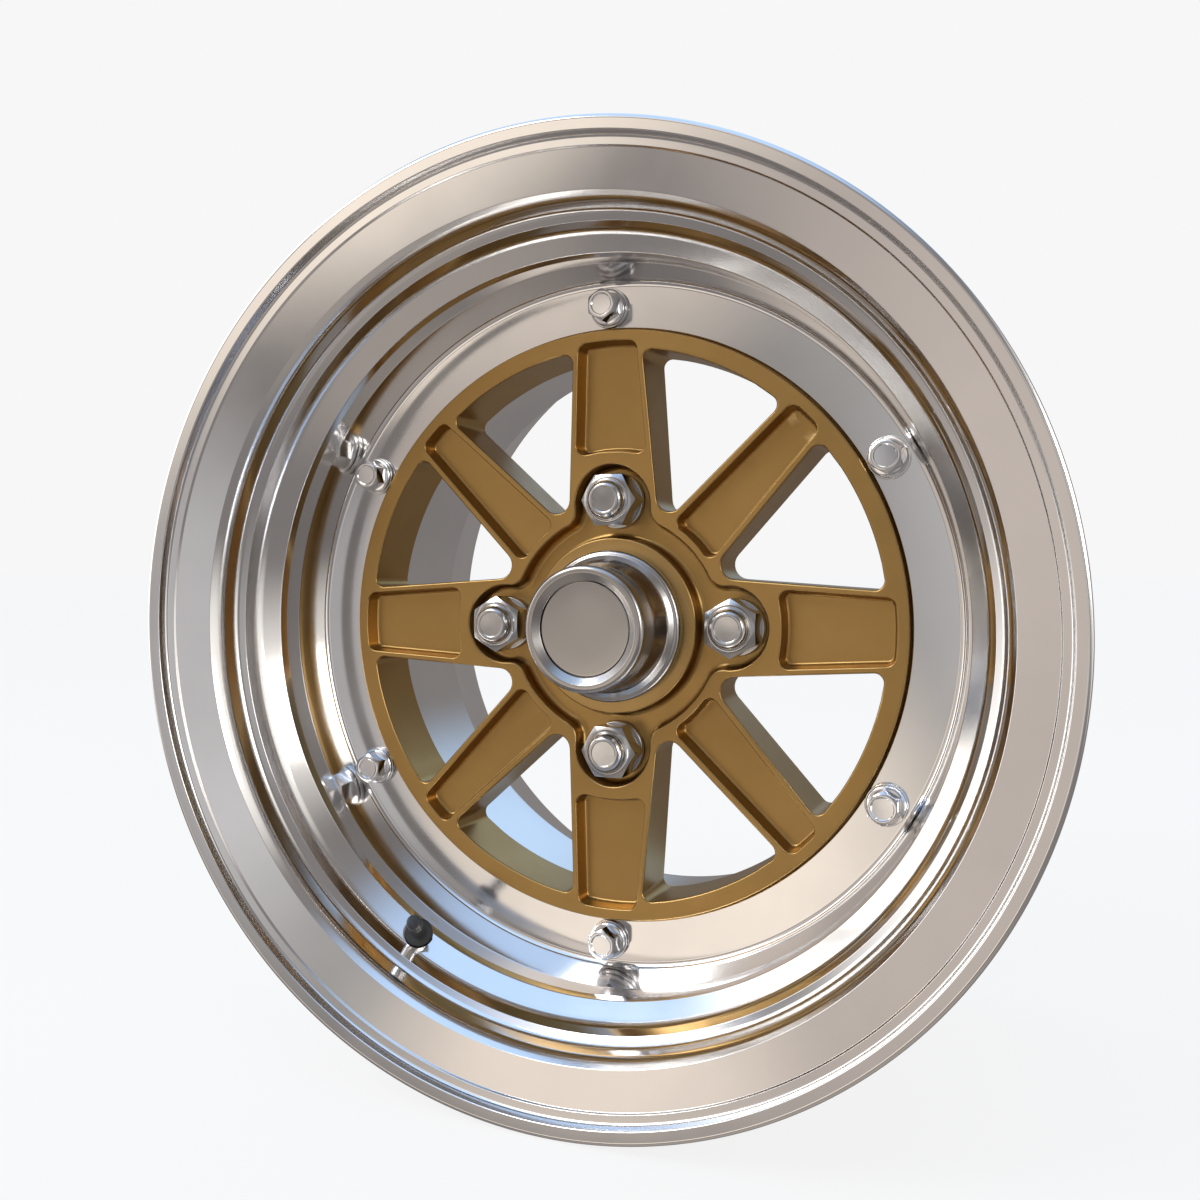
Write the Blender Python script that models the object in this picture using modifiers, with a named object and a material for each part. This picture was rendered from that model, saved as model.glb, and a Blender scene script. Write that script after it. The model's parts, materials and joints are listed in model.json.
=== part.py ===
"""Three-piece forged racing wheel, 14 x 8 J, 4 x 110.

A satin bronze forged centre is clamped between two polished aluminium barrel halves by six
assembly bolts. Four domed lug nuts hold the wheel to its hub, a push-in cap closes the centre
bore, and a snap-in valve stands in the barrel's step.

Everything is modelled about the wheel's own axis: local +Z points out of the visible face and
local zero is the hub seat. The wheel_axis empty turns that axis to the world's -Y.
"""

import math

import bmesh
import bpy
from mathutils import Matrix

# Driving dimensions, in metres. Heights are measured along the axis from the hub seat.
RIM_RADIUS = 0.1947
BEAD_SEAT_RADIUS = 0.1774
RIM_WIDTH = 0.2032
LIP_FRONT = 0.0992
FRONT_FLANGE_FACE = 0.0865
REAR_FLANGE_FACE = FRONT_FLANGE_FACE - RIM_WIDTH
REAR_EDGE = REAR_FLANGE_FACE - 0.010
FLANGE_FRONT = 0.028
FLANGE_BACK = 0.023
STEP_WALL_RADIUS = 0.1532
WELL_RADIUS = 0.130
WELL_END = -0.056
REAR_EDGE_RADIUS = 0.158

CENTRE_FACE = 0.032
CENTRE_RADIUS = 0.1282
FLANGE_BORE_RADIUS = 0.1288
CENTRE_BACK = 0.004
CLAMP_RADIUS = 0.1465
CLAMP_BACK = 0.017
SPOKE_SLOPE = 0.092
SPOKE_SLOPE_START = 0.118
HUB_BLANK_RADIUS = 0.073
BORE_RADIUS = 0.02855
BOSS_RADIUS = 0.0387
BOSS_TOP = 0.0264
RECESS_FLOOR = 0.018
RECESS_RADIUS = 0.0488
LOBE_RADIUS = 0.0175
LOBE_CENTRE = 0.053
LOBE_BLEND = 0.008
WINDOW_OUTER_RADIUS = 0.1203
POCKET_DEPTH = 0.0075
POCKET_OUTER_RADIUS = 0.1234

LUG_COUNT = 4
LUG_RADIUS = 0.055
LUG_FLATS = 0.022
LUG_TOP = 0.0365
BOLT_COUNT = 6
BOLT_RADIUS = 0.13785
BOLT_FLATS = 0.012
BOLT_TOP = 0.039
BOLT_HOLE_RADIUS = 0.0043

CAP_RADIUS = 0.0332
CAP_TOP = 0.0591
CAP_RIM_RADIUS = 0.0268
RING_HEIGHT = 0.0201
RING_SECTION = 0.0007

VALVE_ANGLE = math.radians(240)
VALVE_TILT = math.radians(40)
VALVE_SEAT_RADIUS = 0.1566
VALVE_SEAT_HEIGHT = 0.0601
VALVE_WALL = 0.0052

GAP = 0.0003
CLEAR = 0.040
BARREL_STEPS = 48
CENTRE_STEPS = 64
CAP_STEPS = 32
SMALL_STEPS = 16
BOLT_STEPS = 12
MERGE = 0.000001


def spoke_half_width(radius, diagonal):
    """Half the width of a spoke's face: the lug spokes are wider than the diagonal ones."""
    if diagonal:
        return 0.0136 - 0.0543 * (radius - 0.070)
    return 0.0196 - 0.067 * (radius - 0.070)


def face_height(radius):
    """Height of the centre's face: flat outer ring, then spokes that fall gently to the hub."""
    return CENTRE_FACE - SPOKE_SLOPE * max(0.0, SPOKE_SLOPE_START - radius)


def polar(radius, angle):
    return radius * math.cos(angle), radius * math.sin(angle)


def arc(centre, radius, start, end, steps):
    """Points along an arc, from one angle to the other in radians."""
    angles = [start + (end - start) * step / steps for step in range(steps + 1)]
    return [(centre[0] + radius * math.cos(a), centre[1] + radius * math.sin(a)) for a in angles]


def fillet(before, corner, after, radius, steps):
    """The arc that rounds one corner between its two neighbours."""
    to_before = (before[0] - corner[0], before[1] - corner[1])
    to_after = (after[0] - corner[0], after[1] - corner[1])
    first = math.atan2(to_before[1], to_before[0])
    second = math.atan2(to_after[1], to_after[0])
    half = (second - first) / 2
    if abs(half) > math.pi / 2:
        half -= math.copysign(math.pi, half)
    reach = radius / math.sin(abs(half))
    middle = first + half
    centre = (corner[0] + reach * math.cos(middle), corner[1] + reach * math.sin(middle))
    sweep = math.copysign(math.pi / 2 - abs(half), half)
    start = middle + math.pi + sweep
    end = middle + math.pi - sweep
    return arc(centre, radius, start, end, steps)


def rounded(corners, steps=3):
    """An outline from corners given as (x, y) or, where the corner is rounded, (x, y, radius)."""
    outline = []
    for index, corner in enumerate(corners):
        if len(corner) == 2:
            outline.append(corner)
            continue
        before = corners[index - 1]
        after = corners[(index + 1) % len(corners)]
        outline += fillet(before, corner, after, corner[2], steps)
    return outline


def collection(name):
    made = bpy.data.collections.new(name)
    bpy.context.scene.collection.children.link(made)
    return made


def material(name, colour, metallic, roughness):
    made = bpy.data.materials.new(name)
    made.use_nodes = True
    shader = made.node_tree.nodes["Principled BSDF"]
    shader.inputs["Base Color"].default_value = (*colour, 1.0)
    shader.inputs["Metallic"].default_value = metallic
    shader.inputs["Roughness"].default_value = roughness
    made.diffuse_color = (*colour, 1.0)
    return made


def empty(name, parent=None):
    made = bpy.data.objects.new(name, None)
    PARTS.objects.link(made)
    made.parent = parent
    return made


def part(name, mesh, surface, parent=None, turn=0.0, radius=0.0):
    """Adds a node's object under the wheel's axis, turned about it and set out from it."""
    made = bpy.data.objects.new(name, mesh)
    PARTS.objects.link(made)
    made.parent = parent or WHEEL_AXIS
    made.location = (*polar(radius, turn), 0.0)
    made.rotation_euler = (0.0, 0.0, turn)
    if surface.name not in mesh.materials:
        mesh.materials.append(surface)
    return made


def helper(name, mesh, group, turn=0.0, radius=0.0, parent=None):
    """Adds a cutter, which takes part in Booleans and is never shown as a part."""
    made = bpy.data.objects.new(name, mesh)
    group.objects.link(made)
    made.parent = parent or WHEEL_AXIS
    made.location = (*polar(radius, turn), 0.0)
    made.rotation_euler = (0.0, 0.0, turn)
    made.hide_render = True
    made.display_type = "WIRE"
    return made


def group(name):
    made = bpy.data.collections.new(name)
    CUTTERS.children.link(made)
    return made


def cut(target, cutters, name):
    boolean = target.modifiers.new(name, "BOOLEAN")
    boolean.operation = "DIFFERENCE"
    boolean.solver = "EXACT"
    boolean.operand_type = "COLLECTION"
    boolean.collection = cutters


def smooth(mesh, degrees=30):
    mesh.shade_smooth()
    mesh.set_sharp_from_angle(angle=math.radians(degrees))


def evaluated_mesh(obj, name, flat_limit=0.0):
    """The object's shape with its modifiers and curve settings worked in."""
    bpy.context.view_layer.update()
    graph = bpy.context.evaluated_depsgraph_get()
    mesh = bpy.data.meshes.new_from_object(obj.evaluated_get(graph))
    mesh.name = name
    shape = bmesh.new()
    shape.from_mesh(mesh)
    bmesh.ops.remove_doubles(shape, verts=shape.verts, dist=MERGE)
    if flat_limit:
        bmesh.ops.dissolve_limit(shape, angle_limit=flat_limit, verts=shape.verts, edges=shape.edges)
    bmesh.ops.recalc_face_normals(shape, faces=shape.faces)
    shape.to_mesh(mesh)
    shape.free()
    smooth(mesh)
    return mesh


def turned(name, profile, steps, closed=True):
    """A mesh turned about local Z. The profile runs down its outer side, top to bottom."""
    edges = [(index, index + 1) for index in range(len(profile) - 1)]
    if closed:
        edges.append((len(profile) - 1, 0))
    outline = bpy.data.meshes.new(name)
    outline.from_pydata([(x, 0.0, z) for x, z in profile], edges, [])
    blank = bpy.data.objects.new(name, outline)
    CUTTERS.objects.link(blank)
    screw = blank.modifiers.new("turn", "SCREW")
    screw.steps = steps
    screw.render_steps = steps
    screw.use_merge_vertices = True
    screw.merge_threshold = MERGE
    mesh = evaluated_mesh(blank, name)
    bpy.data.objects.remove(blank)
    return mesh


def prism(name, outlines, low, high):
    """A flat outline, with any holes in it, extruded along local Z from low to high."""
    flat = bpy.data.curves.new(name, "CURVE")
    flat.dimensions = "2D"
    flat.fill_mode = "BOTH"
    flat.extrude = (high - low) / 2
    for outline in outlines:
        spline = flat.splines.new("POLY")
        spline.points.add(len(outline) - 1)
        for point, (x, y) in zip(spline.points, outline):
            point.co = (x, y, 0.0, 1.0)
        spline.use_cyclic_u = True
    guide = bpy.data.objects.new(name, flat)
    CUTTERS.objects.link(guide)
    mesh = evaluated_mesh(guide, name, flat_limit=math.radians(0.5))
    bpy.data.objects.remove(guide)
    mesh.transform(Matrix.Translation((0.0, 0.0, (low + high) / 2)))
    return mesh


def rod(name, radius, low, high, steps=SMALL_STEPS):
    return turned(name, [(0.0, high), (radius, high), (radius, low), (0.0, low)], steps, closed=False)


def tube(name, inner, outer, low, high, steps=SMALL_STEPS):
    return turned(name, [(outer, high), (outer, low), (inner, low), (inner, high)], steps)


def hexagon_cut(mesh, across_flats, first_corner, low, high, name):
    """Mills six flats on a turned blank, between two heights."""
    blank = bpy.data.objects.new(name, mesh)
    CUTTERS.objects.link(blank)
    corner = across_flats / math.sqrt(3)
    sleeve = turned(f"{name}_flats", [(2 * corner, high), (2 * corner, low), (corner, low), (corner, high)], 6)
    sleeve.transform(Matrix.Rotation(first_corner, 4, "Z"))
    flats = group(f"{name}_flats")
    cutter = helper(f"{name}_flats", sleeve, flats, parent=blank)
    cut(blank, flats, "flats")
    milled = evaluated_mesh(blank, name)
    bpy.data.objects.remove(cutter)
    bpy.data.objects.remove(blank)
    bpy.data.collections.remove(flats)
    return milled


def outer_barrel_profile():
    """Section of the polished outer half: rolled lip, bead seat, steps and clamp flange."""
    return rounded([
        (RIM_RADIUS, LIP_FRONT - 0.0008, 0.0008),
        (RIM_RADIUS, 0.0958),
        (0.1868, FRONT_FLANGE_FACE),
        (BEAD_SEAT_RADIUS, FRONT_FLANGE_FACE, 0.005),
        (0.1762, 0.0665),
        (0.1655, 0.0618),
        (0.1582, 0.0547),
        (0.1582, 0.0240),
        (0.1570, FLANGE_BACK),
        (FLANGE_BORE_RADIUS, FLANGE_BACK),
        (FLANGE_BORE_RADIUS, FLANGE_FRONT - 0.0006),
        (FLANGE_BORE_RADIUS + 0.0006, FLANGE_FRONT),
        (0.1492, FLANGE_FRONT, 0.0028),
        (STEP_WALL_RADIUS, 0.0450),
        (STEP_WALL_RADIUS, 0.0541),
        (0.1540, 0.0576),
        (0.1612, 0.0648),
        (0.1632, 0.0713),
        (0.1668, 0.0734),
        (0.1682, 0.0818),
        (0.1709, 0.0858),
        (0.1848, 0.0917),
        (0.1853, 0.0926),
        (0.1886, 0.0938),
        (0.1892, 0.0978),
        (0.1932, LIP_FRONT),
    ], steps=2)


def inner_barrel_profile():
    """Section of the inner half: clamp flange, drop well, rear cone, bead seat and rear flange."""
    relief_top = REAR_EDGE + 0.022
    well_outer = WELL_RADIUS + 0.0046
    return [
        (CLAMP_RADIUS, CLAMP_BACK - GAP),
        (CLAMP_RADIUS, 0.0030),
        (well_outer, 0.0030),
        (well_outer, WELL_END + 0.003),
        (0.1575, -0.0915),
        (0.1762, -0.0950),
        (BEAD_SEAT_RADIUS, REAR_FLANGE_FACE),
        (0.1868, REAR_FLANGE_FACE),
        (RIM_RADIUS, REAR_EDGE + 0.0035),
        (RIM_RADIUS, REAR_EDGE),
        (0.1725, REAR_EDGE),
        (0.1712, relief_top),
        (REAR_EDGE_RADIUS + 0.0015, relief_top),
        (REAR_EDGE_RADIUS + 0.0045, REAR_EDGE),
        (REAR_EDGE_RADIUS, REAR_EDGE),
        (WELL_RADIUS, WELL_END),
        (WELL_RADIUS, CLAMP_BACK - GAP),
    ]


def centre_profile():
    """Section of the forged centre before its windows, pockets and recess are cut."""
    blank_boss = BOSS_RADIUS + 0.004
    return [
        (BORE_RADIUS, BOSS_TOP),
        (blank_boss, BOSS_TOP),
        (blank_boss, face_height(blank_boss)),
        (SPOKE_SLOPE_START, CENTRE_FACE),
        (CENTRE_RADIUS - 0.0005, CENTRE_FACE),
        (CENTRE_RADIUS, CENTRE_FACE - 0.0005),
        (CENTRE_RADIUS, FLANGE_BACK - GAP),
        (CLAMP_RADIUS, FLANGE_BACK - GAP),
        (CLAMP_RADIUS, CLAMP_BACK),
        (CENTRE_RADIUS + 0.0003, CLAMP_BACK),
        (CENTRE_RADIUS + 0.0003, CENTRE_BACK),
        (HUB_BLANK_RADIUS, CENTRE_BACK),
        (HUB_BLANK_RADIUS, 0.0),
        (BORE_RADIUS, 0.0),
    ]


def window_outline():
    """A window between the lug spoke at zero degrees and the diagonal spoke at 45."""
    outer = WINDOW_OUTER_RADIUS
    slant = math.radians(45)
    lug_half = spoke_half_width(outer, diagonal=False)
    lug_corner = (math.sqrt(outer**2 - lug_half**2), lug_half)
    diagonal_half = spoke_half_width(outer, diagonal=True)
    along = math.sqrt(outer**2 - diagonal_half**2)
    diagonal_corner = (
        along * math.cos(slant) + diagonal_half * math.sin(slant),
        along * math.sin(slant) - diagonal_half * math.cos(slant),
    )
    inner_corner = spoke_edges_meet(slant)
    middle = [polar(outer, math.radians(angle)) for angle in (15, 22.5, 30)]
    lug_corner = (*lug_corner, 0.0035)
    diagonal_corner = (*diagonal_corner, 0.0038)
    return rounded([(*inner_corner, 0.0063), lug_corner, *middle, diagonal_corner], steps=2)


def spoke_edges_meet(slant):
    """Where a lug spoke's edge line and the next diagonal spoke's edge line cross."""
    lug_start = spoke_half_width(0.0, diagonal=False)
    lug_rise = spoke_half_width(1.0, diagonal=False) - lug_start
    diagonal_start = spoke_half_width(0.0, diagonal=True)
    diagonal_rise = spoke_half_width(1.0, diagonal=True) - diagonal_start
    cosine, sine = math.cos(slant), math.sin(slant)
    # The diagonal edge is x sin - y cos = start + rise (x cos + y sin), with y on the lug edge.
    x_factor = sine - diagonal_rise * cosine
    y_factor = cosine + diagonal_rise * sine
    x = (diagonal_start + y_factor * lug_start) / (x_factor - y_factor * lug_rise)
    return x, lug_start + lug_rise * x


def pocket_outline(inner, margin, diagonal):
    """A spoke's shallow pocket along +X: arcs about the wheel's axis at both ends."""
    inner_half = spoke_half_width(inner, diagonal) - margin
    outer_half = spoke_half_width(POCKET_OUTER_RADIUS, diagonal) - margin
    inner_x = math.sqrt(inner**2 - inner_half**2)
    outer_x = math.sqrt(POCKET_OUTER_RADIUS**2 - outer_half**2)
    corner = 0.004
    return rounded([
        (inner_x, -inner_half, corner),
        (outer_x, -outer_half, corner),
        (POCKET_OUTER_RADIUS, 0.0),
        (outer_x, outer_half, corner),
        (inner_x, inner_half, corner),
        (inner, 0.0),
    ], steps=2)


def recess_outline():
    """The lobed recess round the boss: one circle, and a lobe blended in round each lug nut."""
    main = RECESS_RADIUS + LOBE_BLEND
    lobe = LOBE_RADIUS + LOBE_BLEND
    blend_x = (LOBE_CENTRE**2 + main**2 - lobe**2) / (2 * LOBE_CENTRE)
    blend_y = math.sqrt(main**2 - blend_x**2)
    main_angle = math.atan2(blend_y, blend_x)
    lobe_angle = math.atan2(blend_y, blend_x - LOBE_CENTRE)
    quarter = math.pi / 2
    half_lobe = arc((LOBE_CENTRE, 0.0), LOBE_RADIUS, -lobe_angle, lobe_angle, 9)
    blend = arc((blend_x, blend_y), LOBE_BLEND, lobe_angle - math.pi, main_angle - math.pi, 2)
    join = arc((0.0, 0.0), RECESS_RADIUS, main_angle, quarter - main_angle, 2)
    next_blend = [(y, x) for x, y in reversed(blend)]
    one_quarter = [*half_lobe, *blend[1:], *join[1:], *next_blend[1:-1]]
    outline = []
    for turn in range(LUG_COUNT):
        cosine, sine = math.cos(turn * quarter), math.sin(turn * quarter)
        outline += [(x * cosine - y * sine, x * sine + y * cosine) for x, y in one_quarter]
    return outline


def make_centre():
    blank = turned("wheel_centre", centre_profile(), CENTRE_STEPS)
    blank.transform(Matrix.Rotation(math.pi / CENTRE_STEPS, 4, "Z"))
    centre = part("wheel_centre", blank, BRONZE)
    names = ("recess", "pad_relief", "windows", "pockets", "lug_seats", "clamp_holes")
    cuts = {name: group(name) for name in names}
    outline = window_outline()
    window = prism("window", [outline], -0.01, CLEAR)
    mirrored = prism("window_mirrored", [[(x, -y) for x, y in outline]], -0.01, CLEAR)
    lug_pocket = prism("lug_pocket", [pocket_outline(0.0763, 0.0026, False)], -POCKET_DEPTH, CLEAR)
    long_pocket = prism("long_pocket", [pocket_outline(0.0523, 0.0028, True)], -POCKET_DEPTH, CLEAR)
    lug_seat = turned("lug_seat", [
        (0.0, CLEAR), (0.0103, CLEAR), (0.0103, 0.006), (0.0075, 0.006), (0.0075, -0.01), (0.0, -0.01),
    ], SMALL_STEPS, closed=False)
    for index in range(LUG_COUNT):
        turn = index * math.pi / 2
        helper(f"window_a{index}", window, cuts["windows"], turn)
        helper(f"window_b{index}", mirrored, cuts["windows"], turn)
        tilted_pocket(f"lug_pocket{index}", lug_pocket, cuts["pockets"], turn)
        tilted_pocket(f"long_pocket{index}", long_pocket, cuts["pockets"], turn + math.pi / 4)
        helper(f"lug_seat{index}", lug_seat, cuts["lug_seats"], turn, LUG_RADIUS)
    clamp_holes(cuts["clamp_holes"], 0.010)
    around = arc((0.0, 0.0), HUB_BLANK_RADIUS + 0.005, 0.0, math.radians(350), 35)
    relief = prism("pad_relief", [around, recess_outline()], -0.01, CENTRE_BACK)
    helper("pad_relief", relief, cuts["pad_relief"])
    hollow = helper("recess", prism("recess", [recess_outline()], RECESS_FLOOR, CLEAR), cuts["recess"])
    guard = group("boss_guard")
    helper("boss_guard", rod("boss_guard", BOSS_RADIUS, 0.0, 2 * CLEAR, CENTRE_STEPS), guard)
    cut(hollow, guard, "boss")
    for name, cutters in cuts.items():
        cut(centre, cutters, name)


def tilted_pocket(name, mesh, pockets, turn):
    """Sets a pocket's floor parallel to the sloping spoke face, at the pocket's depth below it."""
    cutter = helper(name, mesh, pockets, turn)
    cutter.rotation_euler = (0.0, -math.atan(SPOKE_SLOPE), turn)
    cutter.location = (0.0, 0.0, face_height(0.0))


def clamp_holes(cutters, low):
    """One hole down from the front for each assembly bolt, as far as the given height."""
    hole = rod("clamp_hole", BOLT_HOLE_RADIUS, low, CLEAR)
    for index in range(BOLT_COUNT):
        helper(f"clamp_hole{index}", hole, cutters, bolt_angle(index), BOLT_RADIUS)


def bolt_angle(index):
    return math.radians(30 + 60 * index)


def make_barrels():
    inside = CLAMP_RADIUS + GAP
    top = FLANGE_BACK - GAP
    bead = [(inside, top), (inside + 0.0045, top), (inside + 0.0036, top - 0.004), (inside, top - 0.008)]
    part("barrel_seal", turned("barrel_seal", bead, BARREL_STEPS), SEALANT)
    outer = part("outer_barrel", turned("outer_barrel", outer_barrel_profile(), BARREL_STEPS), POLISHED)
    inner = part("inner_barrel", turned("inner_barrel", inner_barrel_profile(), BARREL_STEPS), POLISHED)
    valve_cut = turned("valve_hole", [
        (0.0, 0.012), (0.0070, 0.012), (0.0070, 0.0), (0.00565, 0.0), (0.00565, -VALVE_WALL),
        (0.0095, -VALVE_WALL), (0.0095, -0.020), (0.0, -0.020),
    ], SMALL_STEPS, closed=False)
    through = group("flange_holes")
    threads = group("threaded_holes")
    clamp_holes(through, 0.010)
    clamp_holes(threads, 0.0052)
    valve_cuts = group("valve_cuts")
    helper("valve_hole", valve_cut, valve_cuts, parent=VALVE_AXIS)
    cut(outer, through, "flange_holes")
    cut(outer, valve_cuts, "valve_hole")
    cut(inner, threads, "threaded_holes")


def make_assembly_bolts():
    washer_top = FLANGE_FRONT + GAP + 0.0019
    under_head = washer_top + GAP
    blank = turned("assembly_bolt", [
        (0.0, BOLT_TOP), (0.0058, BOLT_TOP), (0.0074, BOLT_TOP - 0.0009), (0.0074, under_head + 0.0019),
        (0.0080, under_head + 0.0008), (0.0080, under_head), (0.0039, under_head), (0.0039, 0.0062),
        (0.0032, 0.0055), (0.0, 0.0055),
    ], BOLT_STEPS, closed=False)
    bolt = hexagon_cut(blank, BOLT_FLATS, 0.0, under_head + 0.0014, CLEAR, "assembly_bolt")
    washer = tube("bolt_washer", 0.0043, 0.0086, FLANGE_FRONT + GAP, washer_top, BOLT_STEPS)
    for index in range(BOLT_COUNT):
        turn = bolt_angle(index)
        part(f"assembly_bolt_{index + 1}", bolt, CHROME, turn=turn, radius=BOLT_RADIUS)
        part(f"bolt_washer_{index + 1}", washer, CHROME, turn=turn, radius=BOLT_RADIUS)


def make_lug_nuts():
    insert_top = RECESS_FLOOR + 0.0002
    washer_low = insert_top + GAP
    washer_top = washer_low + 0.0022
    nut_low = washer_top + GAP
    blank = turned("lug_nut", [
        (0.0, LUG_TOP), (0.0062, LUG_TOP), (0.0078, LUG_TOP - 0.0009), (0.0085, LUG_TOP - 0.0028),
        (0.0086, LUG_TOP - 0.0044), (0.0101, LUG_TOP - 0.0048), (0.0131, LUG_TOP - 0.0062),
        (0.0131, nut_low + 0.0006), (0.0120, nut_low), (0.0053, nut_low), (0.0053, LUG_TOP - 0.0035),
        (0.0, LUG_TOP - 0.0035),
    ], SMALL_STEPS, closed=False)
    nut = hexagon_cut(blank, LUG_FLATS, math.pi / 6, nut_low - 0.001, LUG_TOP - 0.0046, "lug_nut")
    washer = tube("lug_washer", 0.0069, 0.0123, washer_low, washer_top)
    insert = tube("lug_seat_insert", 0.0069, 0.0100, 0.006 + GAP, insert_top)
    for index in range(LUG_COUNT):
        turn = index * math.pi / 2
        part(f"lug_nut_{index + 1}", nut, NICKEL, turn=turn, radius=LUG_RADIUS)
        part(f"lug_washer_{index + 1}", washer, NICKEL, turn=turn, radius=LUG_RADIUS)
        part(f"lug_seat_insert_{index + 1}", insert, NICKEL, turn=turn, radius=LUG_RADIUS)


def make_centre_cap():
    base = BOSS_TOP + GAP
    skirt = BORE_RADIUS - 0.00045
    shell = rounded([
        (0.0240, CAP_TOP, 0.0008),
        (CAP_RIM_RADIUS, CAP_TOP, 0.0018),
        (CAP_RIM_RADIUS, 0.0550),
        (0.0258, 0.0520),
        (0.0262, 0.0440),
        (0.0285, 0.0345, 0.004),
        (CAP_RADIUS, 0.0322, 0.0018),
        (CAP_RADIUS, base),
        (skirt, base),
        (skirt, RING_HEIGHT + 0.0011),
        (skirt - 0.0017, RING_HEIGHT + 0.0011),
        (skirt - 0.0017, RING_HEIGHT - 0.0011),
        (skirt, RING_HEIGHT - 0.0011),
        (skirt, 0.0120),
        (0.0255, 0.0120),
        (0.0255, 0.0300),
        (0.0235, 0.0400),
        (0.0235, 0.0500),
        (0.0175, 0.0525),
        (0.0175, 0.0545),
        (0.0204, 0.0545),
        (0.0204, 0.0568),
    ], steps=2)
    part("cap_shell", turned("cap_shell", shell, CAP_STEPS), CAP_METAL)
    face = [(0.0, 0.0564), (0.0198, 0.0564), (0.0201, 0.0561), (0.0201, 0.0548), (0.0, 0.0548)]
    part("cap_face", turned("cap_face", face, CAP_STEPS, closed=False), CAP_METAL)
    section = [polar(RING_SECTION, -math.radians(60 * step)) for step in range(6)]
    ring = [(skirt - RING_SECTION + x, RING_HEIGHT + z) for x, z in section]
    part("cap_o_ring", turned("cap_o_ring", ring, CAP_STEPS), RUBBER)


def make_valve():
    back = -VALVE_WALL - GAP
    body = turned("valve_body", [
        (0.0054, 0.0018), (0.0062, 0.0012), (0.0062, GAP), (0.0053, GAP), (0.0053, back), (0.0088, back),
        (0.0088, back - 0.0025), (0.0045, back - 0.0095), (0.0022, back - 0.0095), (0.0022, 0.0018),
    ], SMALL_STEPS)
    part("valve_body", body, RUBBER, VALVE_AXIS)
    part("valve_sleeve", tube("valve_sleeve", 0.0022, 0.0029, 0.0021, 0.0102), CHROME, VALVE_AXIS)
    part("valve_tube", tube("valve_tube", 0.00135, 0.0019, back - 0.0100, 0.0142, BOLT_STEPS), BRASS, VALVE_AXIS)
    part("valve_core", tube("valve_core", 0.00060, 0.00105, 0.0052, 0.0130, 8), BRASS, VALVE_AXIS)
    pin = [
        (0.0, 0.0139), (0.0003, 0.0139), (0.0003, 0.0049), (0.0009, 0.0049), (0.0009, 0.0036), (0.0, 0.0036),
    ]
    part("valve_pin", turned("valve_pin", pin, 8, closed=False), NICKEL, VALVE_AXIS)
    cap = [
        (0.0, 0.0166), (0.0028, 0.0166), (0.0033, 0.0161), (0.0033, 0.0105), (0.0023, 0.0105), (0.0023, 0.0157),
        (0.0, 0.0157),
    ]
    part("valve_cap", turned("valve_cap", cap, SMALL_STEPS, closed=False), BLACK_PLASTIC, VALVE_AXIS)
    part("valve_cap_seal", rod("valve_cap_seal", 0.0020, 0.0146, 0.0154, 12), RUBBER, VALVE_AXIS)


for old in list(bpy.data.objects):
    bpy.data.objects.remove(old)

PARTS = collection("forged_racing_wheel")
CUTTERS = collection("cutters")

BRONZE = material("satin_bronze", (0.33, 0.19, 0.065), 0.9, 0.42)
POLISHED = material("polished_aluminium", (0.78, 0.77, 0.76), 1.0, 0.08)
CHROME = material("chrome_steel", (0.72, 0.73, 0.75), 1.0, 0.10)
NICKEL = material("nickel_steel", (0.60, 0.60, 0.61), 1.0, 0.18)
CAP_METAL = material("satin_cap_aluminium", (0.55, 0.54, 0.53), 1.0, 0.28)
RUBBER = material("black_rubber", (0.02, 0.02, 0.02), 0.0, 0.75)
BLACK_PLASTIC = material("black_plastic", (0.03, 0.03, 0.032), 0.0, 0.45)
BRASS = material("valve_brass", (0.62, 0.46, 0.22), 1.0, 0.30)
SEALANT = material("grey_sealant", (0.30, 0.30, 0.30), 0.0, 0.70)

WHEEL_AXIS = empty("wheel_axis")
WHEEL_AXIS.rotation_euler = (math.pi / 2, 0.0, 0.0)
VALVE_AXIS = empty("valve_axis", WHEEL_AXIS)
VALVE_AXIS.location = (*polar(VALVE_SEAT_RADIUS, VALVE_ANGLE), VALVE_SEAT_HEIGHT)
VALVE_AXIS.rotation_euler = (0.0, -VALVE_TILT, VALVE_ANGLE)

make_assembly_bolts()
make_lug_nuts()
make_centre_cap()
make_valve()
make_barrels()
make_centre()
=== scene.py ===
import json
import math

import bmesh
import bpy
from mathutils import Matrix, Vector
from mathutils.geometry import delaunay_2d_cdt


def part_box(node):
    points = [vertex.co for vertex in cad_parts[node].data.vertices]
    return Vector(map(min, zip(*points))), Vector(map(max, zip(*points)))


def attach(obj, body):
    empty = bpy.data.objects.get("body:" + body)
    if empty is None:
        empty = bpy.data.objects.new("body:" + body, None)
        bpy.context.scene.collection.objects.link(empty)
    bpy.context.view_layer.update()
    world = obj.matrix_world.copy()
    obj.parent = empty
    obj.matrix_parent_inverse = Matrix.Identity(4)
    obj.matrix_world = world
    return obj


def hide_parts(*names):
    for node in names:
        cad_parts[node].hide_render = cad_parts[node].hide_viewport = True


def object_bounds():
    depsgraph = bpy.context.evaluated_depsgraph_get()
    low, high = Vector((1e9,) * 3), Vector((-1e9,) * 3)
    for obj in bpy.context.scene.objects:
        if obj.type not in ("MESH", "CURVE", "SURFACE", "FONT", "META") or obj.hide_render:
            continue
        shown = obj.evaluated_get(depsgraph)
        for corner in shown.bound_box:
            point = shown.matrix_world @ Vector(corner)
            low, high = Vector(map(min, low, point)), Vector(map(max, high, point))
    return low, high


# Lengths are in millimetres up to each mesh's last step, which puts it in the frame in metres.
# Local +Z points out of the wheel's visible face, and local zero is the hub seat.
MM = 0.001
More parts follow.
